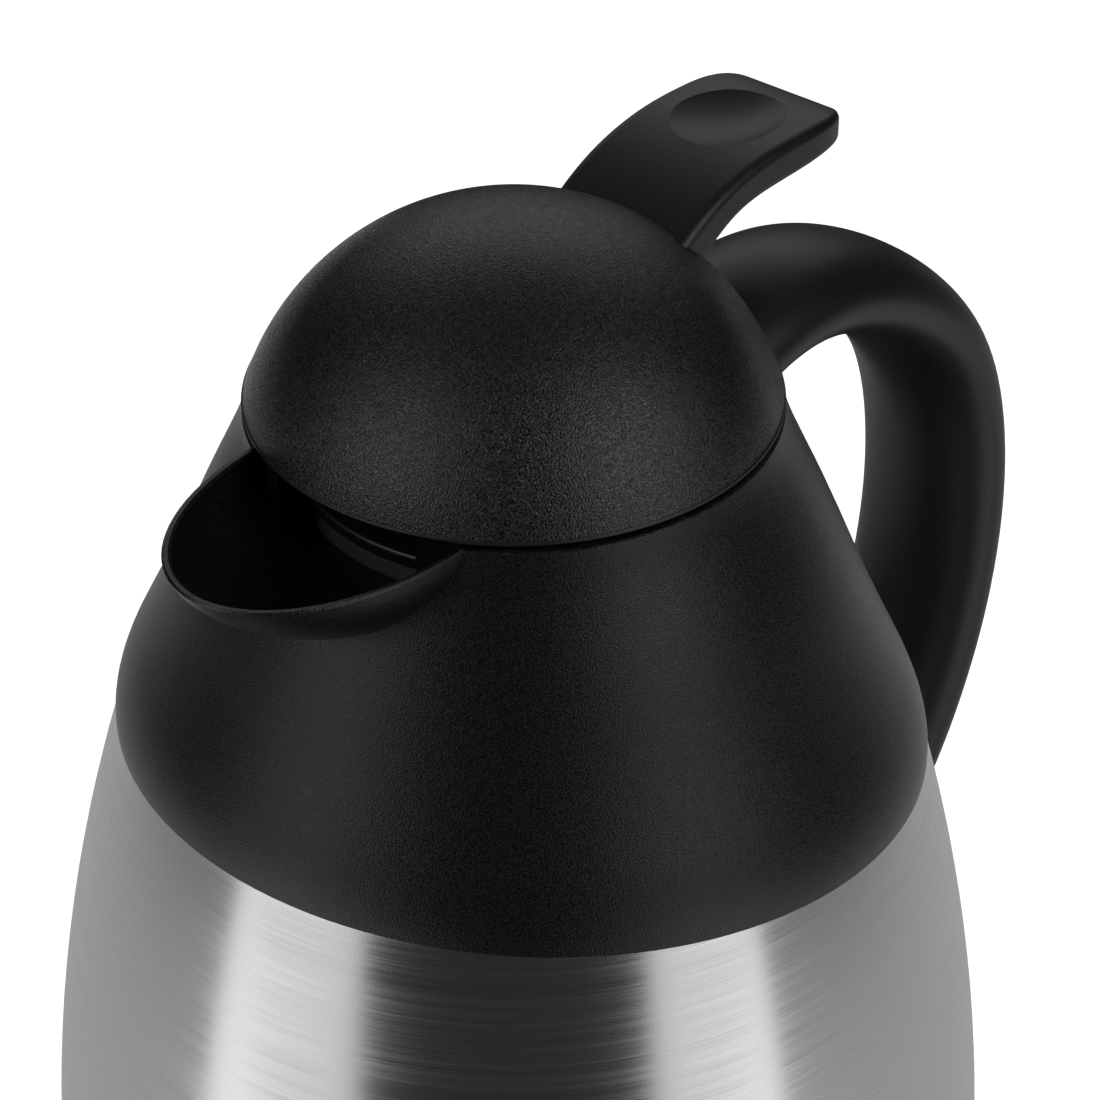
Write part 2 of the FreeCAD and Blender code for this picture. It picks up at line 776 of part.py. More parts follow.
def make_deck():
    """Plate over the pillars with the lever's ears and the stem's guide."""
    plate = disc(deck_radius, deck_bottom, deck_top)
    guide = disc(guide_radius, deck_bottom - guide_tail, deck_top + guide_stand)
    ears = []
    for side in (-1, 1):
        y = side * (ear_inner + ear_thickness / 2) - ear_thickness / 2
        half = ear_half_length
        ear = block(pivot_x - half, pivot_x + half, y, y + ear_thickness, deck_bottom, pivot_z)
        top = Part.makeCylinder(ear_half_length, ear_thickness, V(pivot_x, y, pivot_z), ACROSS)
        ears.append(ear.fuse(top))
    pin = Part.makeCylinder(
        pivot_pin_radius + press_gap, 4 * ear_inner, V(pivot_x, -2 * ear_inner, pivot_z), ACROSS
    )
    cutters = [pin, disc(stem_radius + free_gap, deck_bottom - guide_tail - overcut, pivot_z)]
    for turn in screw_turns():
        start = V(screw_circle, 0, deck_bottom - overcut)
        hole = Part.makeCylinder(screw_radius + free_gap, 2 * deck_thickness, start)
        hole.rotate(ORIGIN, UP, turn)
        cutters.append(hole)
    return plate.fuse([guide] + ears).cut(cutters).removeSplitter()


def make_deck_screws():
    """Three socket screws that hold the deck to the pillars."""
    screws = []
    for turn in screw_turns():
        seat = deck_top + seat_gap
        low = deck_top - screw_length
        shank = Part.makeCylinder(screw_radius, seat - low, V(screw_circle, 0, low))
        head = Part.makeCylinder(screw_head_radius, screw_head_height, V(screw_circle, 0, seat))
        half = screw_head_height / 2
        socket = Part.makeCylinder(screw_radius, half, V(screw_circle, 0, seat + half))
        screw = shank.fuse(head).cut(socket)
        screw.rotate(ORIGIN, UP, turn)
        screws.append(screw)
    return Part.makeCompound(screws)


def from_pivot(pair):
    """Place an (x, z) pair measured from the lever's pivot."""
    return V(pivot_x + pair[0], 0, pivot_z + pair[1])


def dome_arc(radius, low):
    """Arc of the dome from a height to its top, with its start point."""
    start = V(math.sqrt(radius ** 2 - (low - dome_centre) ** 2), 0, low)
    turn = (math.asin((low - dome_centre) / radius) + math.pi / 2) / 2
    middle = V(radius * math.cos(turn), 0, dome_centre + radius * math.sin(turn))
    top = V(0, 0, dome_centre + radius)
    return start, Part.Arc(start, middle, top).toShape(), top


def make_dome():
    """Domed cover with a slot for the lever and a rib that rests on the deck."""
    out_start, out_arc, out_top = dome_arc(dome_radius, dome_bottom + dome_edge_bevel)
    foot = V(out_start.x - dome_edge_bevel, 0, dome_bottom)
    rib_low = deck_top + seat_gap
    rib_high = rib_low + dome_rib_height
    inner = dome_radius - dome_wall
    in_start, in_arc, in_top = dome_arc(inner, rib_high)
    wall = deck_radius + free_gap
    rib = deck_radius - dome_rib_ledge
    edges = [
        out_arc,
        segment(out_top, in_top),
        in_arc,
        segment(in_start, V(rib, 0, rib_high)),
        segment(V(rib, 0, rib_high), V(rib, 0, rib_low)),
        segment(V(rib, 0, rib_low), V(wall, 0, rib_low)),
        segment(V(wall, 0, rib_low), V(wall, 0, dome_bottom)),
        segment(V(wall, 0, dome_bottom), foot),
        segment(foot, out_start),
    ]
    dome = turned(Part.Face(Part.Wire(Part.__sortEdges__(edges))))
    corners = [from_pivot(c) for c in slot_front + slot_rear]
    half = lever_half_width + slot_gap
    slot = Part.Face(Part.makePolygon(corners + corners[:1]))
    slot.translate(V(0, -half, 0))
    return dome.cut(slot.extrude(ACROSS * (2 * half)))


def lever_section(top, low, half_width):
    """Rounded section of the lever's tongue between a point on its top and one on its underside."""
    middle = (top + low) * 0.5
    normal = (top - low) * 0.5
    half = normal.Length
    normal.normalize()
    corner = half * lever_corner_share
    diagonal = corner * (1 - math.sqrt(0.5))

    def at(y, n):
        return middle + ACROSS * y + normal * n

    edges = []
    flat = half_width - corner
    straight = half - corner
    for sy, sn, first_is_side in ((1, 1, True), (-1, 1, False), (-1, -1, True), (1, -1, False)):
        side = at(sy * half_width, sn * straight)
        face = at(sy * flat, sn * half)
        bend = at(sy * (half_width - diagonal), sn * (half - diagonal))
        first, last = (side, face) if first_is_side else (face, side)
        edges.append((first, bend, last))
    wire = []
    for i, (first, bend, last) in enumerate(edges):
        wire.append(Part.Arc(first, bend, last).toShape())
        wire.append(segment(last, edges[(i + 1) % 4][0]))
    return Part.Wire(wire)


def make_lever():
    """Thumb lever: a hub on the pin, a fork to the stem and a tongue with a thumb dish."""
    wide = lever_half_width
    sections = []
    for top, under, less in zip(lever_top, lever_under, lever_narrowing):
        sections.append(lever_section(from_pivot(top), from_pivot(under), wide - less))
    tongue = Part.makeLoft(sections, True, False)
    ball = (dish_half_width ** 2 + dish_depth ** 2) / (2 * dish_depth)
    stretch = FreeCAD.Matrix()
    stretch.scale(dish_stretch, 1, 1)
    scoop = Part.makeSphere(ball).transformGeometry(stretch)
    scoop.translate(from_pivot((dish_out, dish_rise - dish_depth + ball)))
    tongue = tongue.cut(scoop)
    slim = hub_half_width
    hub = Part.makeCylinder(hub_radius, 2 * slim, V(pivot_x, -slim, pivot_z), ACROSS)
    web = Part.Face(Part.makePolygon([from_pivot(p) for p in lever_web + lever_web[:1]]))
    web.translate(V(0, -slim, 0))
    pieces = [hub, web.extrude(ACROSS * (2 * slim))]
    for side in (-1, 1):
        y = side * (fork_inner + fork_outer) / 2 - (fork_outer - fork_inner) / 2
        low = pivot_z - fork_half_height
        high = pivot_z + fork_half_height
        pieces.append(block(-fork_reach, pivot_x, y, y + fork_arm_width, low, high))
    slot = lift_pin_radius + free_gap
    cutters = [
        block(-2 * fork_reach, fork_reach / 2, -wide, wide, pivot_z - slot, pivot_z + slot),
        Part.makeCylinder(pivot_pin_radius + running_fit, 4 * wide, V(pivot_x, -2 * wide, pivot_z), ACROSS),
    ]
    return tongue.fuse(pieces).cut(cutters).removeSplitter()


def make_lever_pin():
    """Steel pin through the ears and the lever's hub."""
    length = 2 * (ear_inner + ear_thickness)
    return Part.makeCylinder(pivot_pin_radius, length, V(pivot_x, -length / 2, pivot_z), ACROSS)


def make_stem():
    """Valve stem with a cross hole for the lift pin."""
    top = pivot_z + stem_top_room
    stem = disc(stem_radius, disc_top, top)
    stem = stem.makeChamfer(stem_chamfer, [e for e in stem.Edges if abs(e.BoundBox.ZMin - top) < 0.01])
    hole = Part.makeCylinder(
        lift_pin_radius + press_gap, 4 * stem_radius, V(0, -2 * stem_radius, pivot_z), ACROSS
    )
    return stem.cut(hole)


def make_lift_pin():
    """Cross pin of the stem that lies in the lever's fork."""
    half = lift_pin_half_length
    return Part.makeCylinder(lift_pin_radius, 2 * half, V(0, -half, pivot_z), ACROSS)


def make_valve_disc():
    """Valve disc with a spigot for the seal."""
    return turned(outline([
        (0, seal_bottom, 0), (valve_seal_inner - press_gap, seal_bottom, 0),
        (valve_seal_inner - press_gap, disc_bottom, 0), (valve_disc_radius, disc_bottom, 0),
        (valve_disc_radius, disc_top, 0), (0, disc_top, 0)
    ]))


def spring_path(low, high):
    """Helix as tangent arcs, two to each quarter turn."""
    turn = math.pi / 2
    count = 4 * spring_turns
    rise = (high - low) / count
    slope = rise / (spring_radius * turn)

    def place(i):
        return ring_point(i * turn, spring_radius, low + i * rise)

    def heading(i):
        return V(-math.sin(i * turn), math.cos(i * turn), slope).normalize()

    edges = []
    for i in range(count):
        start = place(i)
        end = place(i + 1)
        lead = heading(i)
        leave = heading(i + 1)
        span = end - start
        both = lead + leave
        a = both.dot(both) - 4
        b = -2 * span.dot(both)
        c = span.dot(span)
        reach = (-b - math.sqrt(b * b - 4 * a * c)) / (2 * a)
        if reach < 0:
            reach = (-b + math.sqrt(b * b - 4 * a * c)) / (2 * a)
        first = start + lead * reach
        second = end - leave * reach
        joint = (first + second) * 0.5
        for one, knee, two in ((start, first, joint), (joint, second, end)):
            edges.append(tangent_arc(one, knee, two))
    return Part.Wire(edges)


def tangent_arc(start, knee, end):
    """Arc between two points whose tangents meet at the knee."""
    chord = (start + end) * 0.5
    half = (start - knee).getAngle(end - knee) / 2
    leg = (start - knee).Length
    radius = leg * math.tan(half)
    away = (chord - knee).normalize()
    middle = knee + away * (radius / math.sin(half) - radius)
    return Part.Arc(start, middle, end).toShape()


def make_spring():
    """Closing spring round the stem, between the disc and the deck."""
    low = disc_top + spring_wire + seat_gap
    high = deck_bottom - spring_wire - seat_gap
    path = spring_path(low, high)
    wire = Part.Wire(Part.makeCircle(spring_wire, V(spring_radius, 0, low), ACROSS))
    points = path.discretize(Number=24 * spring_turns)
    gaps = [(a - b).Length for i, a in enumerate(points) for b in points[i + 12:]]
    print("least gap between the spring's turns", round(min(gaps) - 2 * spring_wire, 2))
    return path.makePipeShell([wire], True, False)


os.makedirs("parts", exist_ok=True)
outer_shell, hem_top = make_outer_shell()
nodes = {
    "outer_shell": outer_shell,
    "base_ring": make_base_ring(hem_top),
    "base_plate": make_base_plate(),
    "base_pad": make_base_pad(),
    "flask_cushion": make_cushion(),
    "flask_outer_wall": make_flask_outer(),
    "flask_inner_wall": make_flask_inner(),
    "flask_spacers": make_spacers(),
    "neck_gasket": make_neck_gasket(),
    "shoulder_collar": make_collar(),
    "handle": make_handle(),
    "handle_bracket": make_bracket(),
    "handle_screw": make_handle_screw(),
    "stopper_gasket": ring(plug_radius + free_gap, flange_lower_radius, mouth_floor, flange_bottom),
    "stopper_body": make_stopper(),
    "lid_deck": make_deck(),
    "deck_screws": make_deck_screws(),
    "lid_dome": make_dome(),
    "thumb_lever": make_lever(),
    "lever_pin": make_lever_pin(),
    "valve_stem": make_stem(),
    "lift_pin": make_lift_pin(),
    "valve_disc": make_valve_disc(),
    "valve_seal": ring(valve_seal_inner, valve_seal_outer, seal_bottom, disc_bottom),
    "valve_spring": make_spring(),
}
for name, shape in nodes.items():
    shape.exportStep(os.path.join("parts", name + ".step"))
    box = shape.optimalBoundingBox(False, False)
    print(name, len(shape.Solids), shape.isValid(), round(shape.Volume), [round(v, 1) for v in (
        box.XMin, box.XMax, box.YMin, box.YMax, box.ZMin, box.ZMax)])
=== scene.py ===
"""Insulated coffee jug: finishes, threads, lip and spring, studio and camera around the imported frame."""

import logging
import math
from dataclasses import dataclass
from enum import Enum
from typing import Any, ClassVar

import bpy
from mathutils import Matrix, Vector


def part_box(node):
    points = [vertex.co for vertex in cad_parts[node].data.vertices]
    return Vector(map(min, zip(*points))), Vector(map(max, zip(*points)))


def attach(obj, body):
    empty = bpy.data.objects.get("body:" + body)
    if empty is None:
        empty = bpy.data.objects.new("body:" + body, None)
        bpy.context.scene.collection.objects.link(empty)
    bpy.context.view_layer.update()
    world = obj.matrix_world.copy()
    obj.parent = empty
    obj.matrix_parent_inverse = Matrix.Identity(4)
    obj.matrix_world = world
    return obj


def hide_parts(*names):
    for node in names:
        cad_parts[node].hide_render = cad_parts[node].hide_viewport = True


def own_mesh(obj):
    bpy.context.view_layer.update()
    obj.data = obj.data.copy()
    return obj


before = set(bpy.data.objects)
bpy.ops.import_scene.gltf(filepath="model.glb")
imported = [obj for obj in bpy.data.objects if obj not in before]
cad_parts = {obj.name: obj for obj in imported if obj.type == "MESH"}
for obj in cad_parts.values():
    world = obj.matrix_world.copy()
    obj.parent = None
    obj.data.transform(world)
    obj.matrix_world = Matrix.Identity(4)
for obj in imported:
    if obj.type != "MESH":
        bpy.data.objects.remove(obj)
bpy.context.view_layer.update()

LOG = logging.getLogger("jug")
MM = 0.001
MERGE_DISTANCE = 1e-6
SHARP_EDGE_DEG = 40.0

# Sockets of the Mix node, which gives several of them one name.
MIX_SHARE = 0
MIX_FIRST_VALUE = 2
MIX_SECOND_VALUE = 3
MIX_FIRST_COLOUR = 6
MIX_SECOND_COLOUR = 7
MIX_VALUE_OUT = 0
MIX_COLOUR_OUT = 2


class Body(Enum):
    """The bodies that new pieces ride on, by their names in the frame."""

    JUG = "jug_body"
    LID = "lid"


class Slot(Enum):
    """The record's material slots that new pieces belong to."""

    GRAINED = "grained_black_plastic"
    STOPPER = "stopper_plastic"
    HARDWARE = "steel_hardware"


def linear(hex_colour: str) -> tuple[float, float, float, float]:
    """Turns an sRGB hex colour into linear values.

    Args:
        hex_colour: Six hex digits with a leading hash.

    Returns:
        Red, green, blue and alpha, linear.
    """
    parts = [int(hex_colour[i:i + 2], 16) / 255 for i in (1, 3, 5)]
    red, green, blue = (p / 12.92 if p <= 0.04045 else ((p + 0.055) / 1.055) ** 2.4 for p in parts)
    return (red, green, blue, 1.0)


def per_mm(size_mm: float) -> float:
    """Texture scale that repeats a pattern once in a size in millimetres."""
    return 1.0 / (size_mm * MM)


def put(
    tree: bpy.types.NodeTree, kind: str, inputs: dict[str | int, Any] | None = None, **settings: Any
) -> bpy.types.Node:
    """Adds a node with its settings and links.

    Args:
        tree: The tree that the node goes into.
        kind: Blender's name of the node type.
        inputs: Values or output sockets, by the input's name or number.
        settings: Attributes of the node.

    Returns:
        The new node.
    """
    node = tree.nodes.new(kind)
    for name, value in settings.items():
        setattr(node, name, value)
    for name, value in (inputs or {}).items():
        if isinstance(value, bpy.types.NodeSocket):
            tree.links.new(value, node.inputs[name])
        else:
            node.inputs[name].default_value = value
    return node


@dataclass(frozen=True)
class Finish:
    """A material and how its surface was made: two shades, a gloss and an even grain.

    The grain runs from the dark and smooth places, at pattern_low, to the light and rough ones, at
    pattern_high.
    """

    name: str
    dark: str
    light: str
    roughness: float
    gloss_spread: float
    grain_mm: float
    relief_mm: float
    pattern_low: float = 0.3
    pattern_high: float = 0.7
    detail: float = 1.0
    tangle: float = 0.0
    metallic: float = 0.0
    ior: float = 1.5
    coat: float = 0.0

    def material(self) -> bpy.types.Material:
        """Makes the material once and finds it again later.

        Returns:
            The material.
        """
        made = bpy.data.materials.get(self.name)
        if made is None:
            made = bpy.data.materials.new(self.name)
            made.use_nodes = True
            made.node_tree.nodes.clear()
            self.draw(made.node_tree)
        return made

    def draw(self, tree: bpy.types.NodeTree) -> None:
        """Lets the pattern colour, roughen and raise the surface.

        Args:
            tree: The material's empty tree.
        """
        place = put(tree, "ShaderNodeTexCoord").outputs["Object"]
        pattern = {
            "Value": self.pattern(tree, place),
            "From Min": self.pattern_low,
            "From Max": self.pattern_high,
        }
        spread = put(tree, "ShaderNodeMapRange", pattern)
        colour = put(tree, "ShaderNodeMix", {
            MIX_SHARE: spread.outputs["Result"],
            MIX_FIRST_COLOUR: linear(self.dark),
            MIX_SECOND_COLOUR: linear(self.light),
        }, data_type="RGBA")
        rough = put(tree, "ShaderNodeMapRange", pattern | {
            "To Min": self.roughness - self.gloss_spread,
            "To Max": self.roughness + self.gloss_spread,
        })
        bump = put(tree, "ShaderNodeBump", {
            "Strength": 1.0, "Distance": self.relief_mm * MM, "Height": pattern["Value"],
        })
        shader = put(tree, "ShaderNodeBsdfPrincipled", {
            "Base Color": colour.outputs[MIX_COLOUR_OUT],
            "Roughness": rough.outputs["Result"],
            "Normal": bump.outputs["Normal"],
            "Metallic": self.metallic,
            "IOR": self.ior,
            "Coat Weight": self.coat,
        } | self.own_inputs(tree))
        put(tree, "ShaderNodeOutputMaterial", {"Surface": shader.outputs["BSDF"]})

    def pattern(self, tree: bpy.types.NodeTree, place: bpy.types.NodeSocket) -> bpy.types.NodeSocket:
        """Draws an even grain.

        Args:
            tree: The material's tree.
            place: The Object coordinates.

        Returns:
            The pattern, about 0.5 on average.
        """
        grain = put(tree, "ShaderNodeTexNoise", {
            "Vector": place, "Scale": per_mm(self.grain_mm), "Detail": self.detail, "Distortion": self.tangle,
        })
        return grain.outputs["Fac"]

    def own_inputs(self, tree: bpy.types.NodeTree) -> dict[str | int, Any]:
        """Gives the shader inputs that only this kind of finish has."""
        return {}


@dataclass(frozen=True)
class BrushedSteel(Finish):
    """Sheet brushed round the belly: fine level lines that draw highlights out upright."""

    line_run_mm: float = 45.0
    band_mm: float = 0.9
    band_run_mm: float = 135.0
    band_share: float = 0.5
    anisotropy: float = 0.75
    upright_turn: float = 0.25

    def pattern(self, tree: bpy.types.NodeTree, place: bpy.types.NodeSocket) -> bpy.types.NodeSocket:
        """Draws brush lines of two widths, much longer round the belly than they are high.

        Args:
            tree: The material's tree.
            place: The Object coordinates.

        Returns:
            The pattern, about 0.5 on average.
        """
        lines = []
        for width_mm, run_mm in ((self.grain_mm, self.line_run_mm), (self.band_mm, self.band_run_mm)):
            along = per_mm(run_mm)
            drawn = put(tree, "ShaderNodeMapping", {
                "Vector": place, "Scale": (along, along, per_mm(width_mm)),
            })
            noise = put(tree, "ShaderNodeTexNoise", {
                "Vector": drawn.outputs["Vector"], "Scale": 1.0, "Detail": self.detail,
            })
            lines.append(noise.outputs["Fac"])
        both = put(tree, "ShaderNodeMix", {
            MIX_SHARE: self.band_share, MIX_FIRST_VALUE: lines[0], MIX_SECOND_VALUE: lines[1],
        }, data_type="FLOAT")
        return both.outputs[MIX_VALUE_OUT]

    def own_inputs(self, tree: bpy.types.NodeTree) -> dict[str | int, Any]:
        """Draws the gloss out across the brush lines.

        Args:
            tree: The material's tree.

        Returns:
            Inputs of the shader, by name.
        """
        level = put(tree, "ShaderNodeTangent", direction_type="RADIAL", axis="Z")
        return {
            "Anisotropic": self.anisotropy,
            "Anisotropic Rotation": self.upright_turn,
            "Tangent": level.outputs["Tangent"],
        }


# Stainless steel, brushed as it turned: level lines, tall soft highlights. Lines drawn coarser than real.
STEEL = BrushedSteel(
    "stainless_steel_brushed", "#c2c3c4", "#dcdddd", metallic=1.0, roughness=0.27, gloss_spread=0.065,
    grain_mm=0.24, relief_mm=0.004, detail=3.0,
)
# Polypropylene, moulded in a spark-eroded tool: a sparkling dull black. Grain drawn coarser than real.
SPARK_GRAIN = Finish(
    "polypropylene_spark_grained", "#030303", "#292a2a", ior=1.53, roughness=0.25, gloss_spread=0.08,
    grain_mm=0.24, relief_mm=0.135, pattern_low=0.4, pattern_high=0.6,
)
# The same plastic from a finer tool: calmer and a little darker. Grain drawn coarser than real.
FINE_GRAIN = Finish(
    "polypropylene_fine_grained", "#030303", "#1c1c1d", ior=1.45, roughness=0.34, gloss_spread=0.05,
    grain_mm=0.22, relief_mm=0.07, pattern_low=0.4, pattern_high=0.6,
)
# Polypropylene, moulded in a satin tool: smoother, with a soft line of light along its edges.
SATIN = Finish(
    "polypropylene_satin", "#0e0e0f", "#141415", roughness=0.46, gloss_spread=0.04,
    grain_mm=0.35, relief_mm=0.008,
)
# Polypropylene, moulded in a plain tool: an even half gloss.
PLAIN = Finish(
    "polypropylene_plain", "#131314", "#1a1a1b", roughness=0.42, gloss_spread=0.04,
    grain_mm=0.4, relief_mm=0.01,
)
# Polypropylene, moulded dull: grey where the light rakes it.
DULL = Finish(
    "polypropylene_dull", "#1d1d1d", "#262626", roughness=0.6, gloss_spread=0.04,
    grain_mm=0.8, relief_mm=0.04,
)
# Nitrile rubber, moulded: dark and almost without gloss.
RUBBER = Finish(
    "nitrile_rubber_moulded", "#191919", "#232323", roughness=0.82, gloss_spread=0.04,
    grain_mm=0.7, relief_mm=0.05,
)
# Silicone rubber, moulded: pale grey with a greasy sheen.
SILICONE = Finish(
    "silicone_moulded", "#a6a6a2", "#b6b6b2", ior=1.41, roughness=0.55, gloss_spread=0.04,
    grain_mm=0.6, relief_mm=0.01,
)
# Silicone rubber, moulded in dark grey: the ring that shows inside the spout.
GREY_SILICONE = Finish(
    "silicone_grey_moulded", "#3c3c3c", "#464646", ior=1.41, roughness=0.5, gloss_spread=0.04,
    grain_mm=0.6, relief_mm=0.01,
)
# Borosilicate glass, blown and silvered: a cool mirror with slow waves under a clear coat.
GLASS = Finish(
    "borosilicate_silvered", "#cdd3d4", "#e4e8e8", metallic=1.0, roughness=0.06, gloss_spread=0.02,
    grain_mm=14.0, relief_mm=0.03, coat=1.0,
)
# Wool felt, pressed: a warm dull grey of short crossing hairs.
FELT = Finish(
    "felt_pressed", "#b3ab9b", "#cfc8ba", roughness=0.95, gloss_spread=0.03,
    grain_mm=0.25, relief_mm=0.08, detail=4.0, tangle=1.5,
)
# Steel plate, coloured dull and dark as painted shade: it stays as dark as the handle's shadow, and its
# corner doesn't shine.
SHADE_PAINTED_STEEL = Finish(
    "steel_painted_shade", "#1c1c1d", "#29292a", metallic=1.0, roughness=0.5, gloss_spread=0.06,
    grain_mm=0.6, relief_mm=0.004,
)
# Stainless wire and screws, drawn: bright, with small marks.
BRIGHT_STEEL = Finish(
    "stainless_steel_drawn", "#b4b4b2", "#d2d2d0", metallic=1.0, roughness=0.22, gloss_spread=0.06,
    grain_mm=0.3, relief_mm=0.002,
)


class Lathe:
    """Models round pieces about the jug's axis by hand: a section, its root and its winding."""

    @staticmethod
    def section(wire_mm: float, sides: int, radius_mm: float, height_mm: float) -> bpy.types.Object:
        """Draws a round section beside the axis.

        Args:
            wire_mm: Radius of the section.
            sides: Its number of sides.
            radius_mm: Distance of its middle from the axis.
            height_mm: Height of its middle.

        Returns:
            The section, at the origin.
        """
        bpy.ops.object.select_all(action="DESELECT")
        bpy.ops.mesh.primitive_circle_add(
            vertices=sides, radius=wire_mm * MM, fill_type="NOTHING",
            location=(radius_mm * MM, 0, height_mm * MM), rotation=(math.pi / 2, 0, 0),
        )
        bpy.ops.object.transform_apply(location=True, rotation=True, scale=True)
        return bpy.context.view_layer.objects.active

    @staticmethod
    def root(piece: bpy.types.Object, radius_mm: float, depth_mm: float) -> None:
        """Draws one side of a section out, so that it roots in the wall behind it.

        Args:
            piece: The section.
            radius_mm: Radius that parts the moved points from the rest.
            depth_mm: Length of the move; the outer points move outwards, or the inner ones inwards if
                it is negative.
        """
        bpy.context.tool_settings.mesh_select_mode = (True, False, False)
        for edge in piece.data.edges:
            edge.select = False
        for point in piece.data.vertices:
            point.select = (point.co.x > radius_mm * MM) == (depth_mm > 0)
        bpy.ops.object.mode_set(mode="EDIT")
        bpy.ops.transform.translate(value=(depth_mm * MM, 0, 0))
        bpy.ops.object.mode_set(mode="OBJECT")

    @staticmethod
    def wind(piece: bpy.types.Object, pitch_mm: float, turns: int, steps: int) -> None:
        """Winds a section about the axis and closes its open ends.

        Args:
            piece: The section.
            pitch_mm: Rise of one turn; none gives a closed ring.
            turns: Number of turns.
            steps: Steps in one turn.
        """
        sides = len(piece.data.vertices)
        screw = piece.modifiers.new("winding", "SCREW")
        screw.axis = "Z"
        screw.angle = 2 * math.pi
        screw.screw_offset = pitch_mm * MM
        screw.iterations = turns
        screw.steps = steps
        screw.render_steps = steps
        screw.use_merge_vertices = True
        screw.merge_threshold = MERGE_DISTANCE
        bpy.ops.object.modifier_apply(modifier=screw.name)
        bpy.ops.object.mode_set(mode="EDIT")
        bpy.ops.mesh.select_mode(type="EDGE")
        bpy.ops.mesh.select_all(action="DESELECT")
        bpy.ops.mesh.select_non_manifold()
        bpy.ops.mesh.fill_holes(sides=sides)
        bpy.ops.object.mode_set(mode="OBJECT")

    @staticmethod
    def settle(
        piece: bpy.types.Object, name: str, finish: Finish, body: Body, slot: Slot
    ) -> bpy.types.Object:
        """Merges doubles, turns faces outwards, shades, dresses and seats a piece.

        Args:
            piece: The wound object.
            name: Its finished name.
            finish: What it is made of.
            body: The body that it rides on.
            slot: The record's slot that it belongs to; not used.

        Returns:
            The same object.
        """
        bpy.ops.object.mode_set(mode="EDIT")
        bpy.ops.mesh.select_all(action="SELECT")
        bpy.ops.mesh.remove_doubles(threshold=MERGE_DISTANCE)
        bpy.ops.mesh.normals_make_consistent(inside=False)
        bpy.ops.object.mode_set(mode="OBJECT")
        bpy.ops.object.shade_smooth_by_angle(angle=math.radians(SHARP_EDGE_DEG))
        piece.name = name
        piece.data.name = name
        piece.data.materials.append(finish.material())
        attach(piece, body.value)
        return piece


@dataclass(frozen=True)
class Thread:
    """The screw thread between stopper and throat: two low ridges that pass each other."""

    throat_radius_mm: float = 30.2
    plug_gap_mm: float = 0.6
    throat_ridge_mm: float = 0.25
    plug_ridge_mm: float = 0.3
    root_mm: float = 0.3
    pitch_mm: float = 4.2
    sides: int = 8
    steps: int = 72

    def in_throat(self, low_mm: float, turns: int) -> bpy.types.Object:
        """Winds the throat's ridge, rooted outwards.

        Args:
            low_mm: Height of its lower end.
            turns: Number of turns.

        Returns:
            The ridge.
        """
        ridge = Lathe.section(self.throat_ridge_mm, self.sides, self.throat_radius_mm, low_mm)
        Lathe.root(ridge, self.throat_radius_mm, self.root_mm)
        Lathe.wind(ridge, self.pitch_mm, turns, self.steps)
        return ridge

    def on_plug(self, low_mm: float, turns: int) -> bpy.types.Object:
        """Winds the stopper's ridge, rooted inwards.

        Args:
            low_mm: Height of its lower end.
            turns: Number of turns.

        Returns:
            The ridge.
        """
        plug_radius_mm = self.throat_radius_mm - self.plug_gap_mm
        ridge = Lathe.section(self.plug_ridge_mm, self.sides, plug_radius_mm, low_mm)
        Lathe.root(ridge, plug_radius_mm, -self.root_mm)
        Lathe.wind(ridge, self.pitch_mm, turns, self.steps)
        return ridge


@dataclass
class SubAssembly:
    """Nodes that are dressed together, and the pieces that are modelled onto them."""

    finishes: ClassVar[dict[str, Finish]] = {}

    def build(self) -> list[bpy.types.Object]:
        """Models the pieces that the frame lacks."""
        return []

    def dress(self) -> None:
        """Gives each node its finish and reports it."""
        for name, finish in self.finishes.items():
            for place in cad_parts[name].material_slots:
                place.material = finish.material()
            LOG.info("dressed %s in %s", name, finish.name)


@dataclass
class JugBody(SubAssembly):
    """Steel shell, shoulder, handle, glass insert and base, with the thread inside the throat."""

    thread: Thread = Thread()
    thread_turns: int = 1
    thread_below_gasket_mm: float = 8.0

    finishes: ClassVar[dict[str, Finish]] = {
        "outer_shell": STEEL,
        "shoulder_collar": FINE_GRAIN,
        "handle": SATIN,
        # Painted shade: the bracket is coloured dark so that its corner beside the handle doesn't shine.
        "handle_bracket": SHADE_PAINTED_STEEL,
        "handle_screw": BRIGHT_STEEL,
        "base_ring": DULL,
        "base_plate": DULL,
        "base_pad": RUBBER,
        "flask_cushion": SILICONE,
        "flask_outer_wall": GLASS,
        "flask_inner_wall": GLASS,
        "flask_spacers": FELT,
        "neck_gasket": SILICONE,
    }

    def build(self) -> list[bpy.types.Object]:
        """Models the throat's thread."""
        return [self.throat_thread()]

    def throat_thread(self) -> bpy.types.Object:
        """Winds the low ridge in the collar's throat, half a turn from the stopper's.

        Returns:
            The thread.
        """
        gasket_low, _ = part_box("stopper_gasket")
        low = gasket_low.z / MM - self.thread_below_gasket_mm
        ridge = self.thread.in_throat(low, self.thread_turns)
        return Lathe.settle(ridge, "throat_thread", FINE_GRAIN, Body.JUG, Slot.GRAINED)


